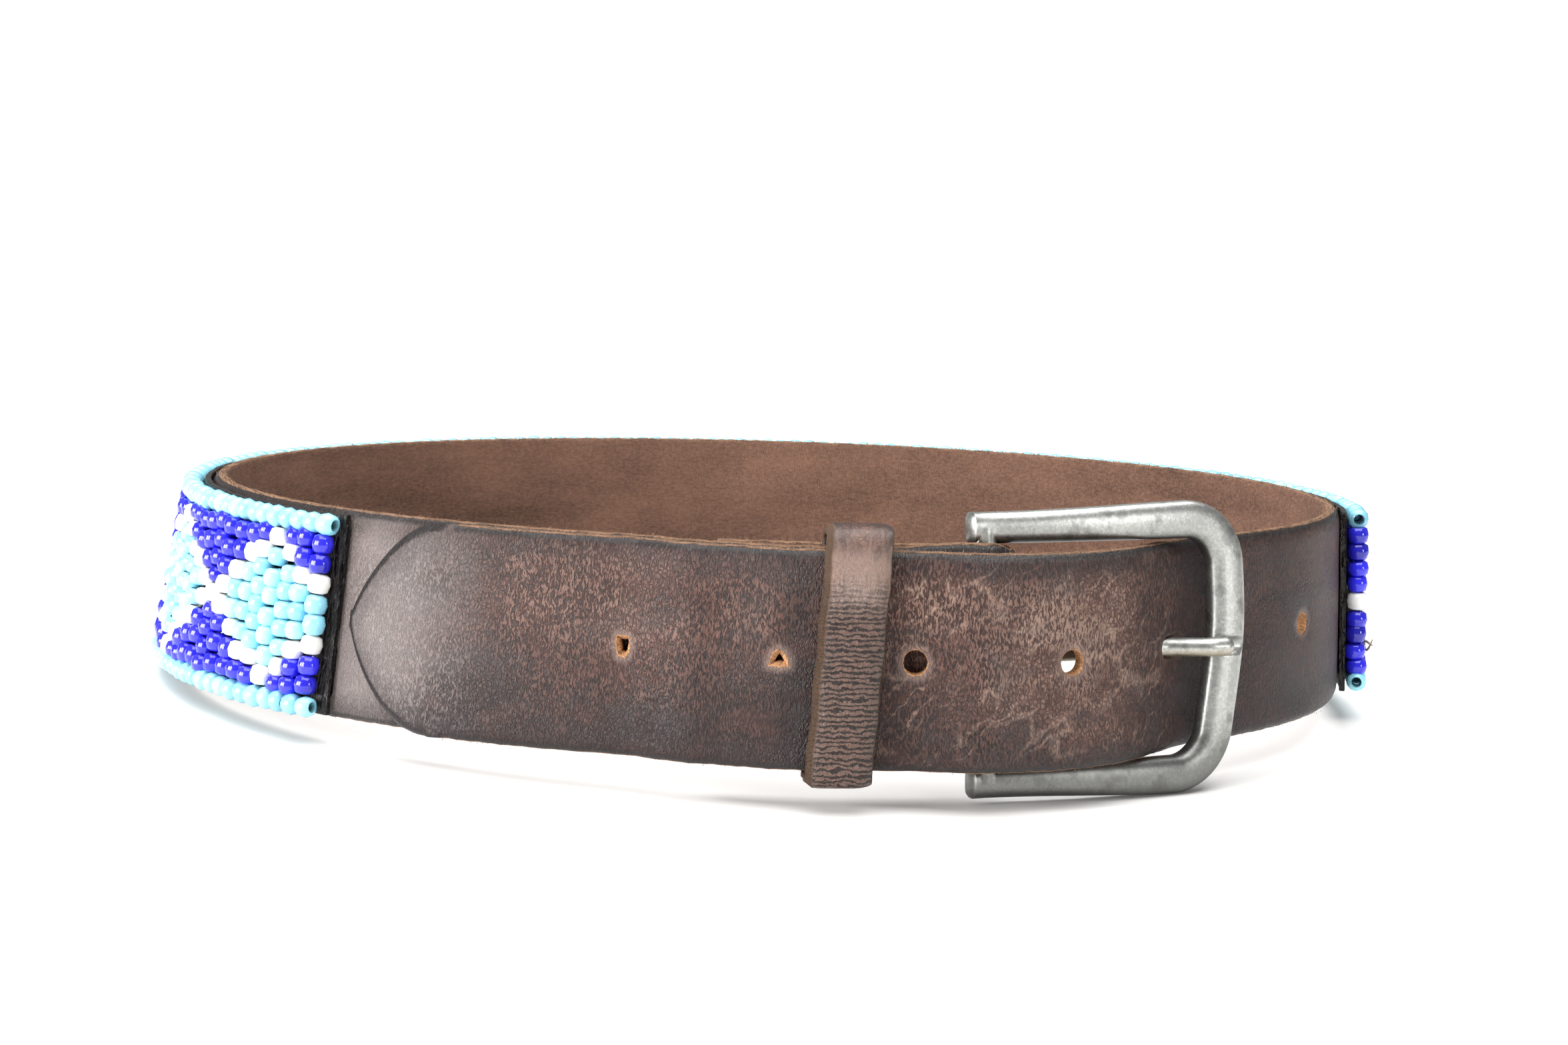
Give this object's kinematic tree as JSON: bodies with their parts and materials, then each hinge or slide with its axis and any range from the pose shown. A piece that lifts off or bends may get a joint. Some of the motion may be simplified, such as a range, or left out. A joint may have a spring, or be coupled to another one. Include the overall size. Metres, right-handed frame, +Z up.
{
  "type": "beaded belt",
  "caption": "Buckled leather belt closed in an oval, with a beaded band sewn round its back and sides.",
  "frame": {"origin": "middle of the belt's box, on the surface that it rests on", "axes": "+X along the belt's long way across, -Y out of its front where the buckle is, +Z up"},
  "size_m": [0.2528, 0.1866, 0.053],
  "materials": {
    "strap_leather": "worn, waxed",
    "keeper_leather": "worn, waxed",
    "backing_leather": "matte",
    "buckle_metal": "satin",
    "field_glass": "gloss",
    "edge_glass": "gloss"
  },
  "bodies": {
    "root": {"leather_strap": "strap_leather", "keeper_loop": "keeper_leather", "buckle_frame": "buckle_metal", "buckle_prong": "buckle_metal", "bead_backing": "backing_leather", "bead_field": "field_glass", "bead_row_top": "edge_glass", "bead_row_bottom": "edge_glass"}
  },
  "joints": []
}
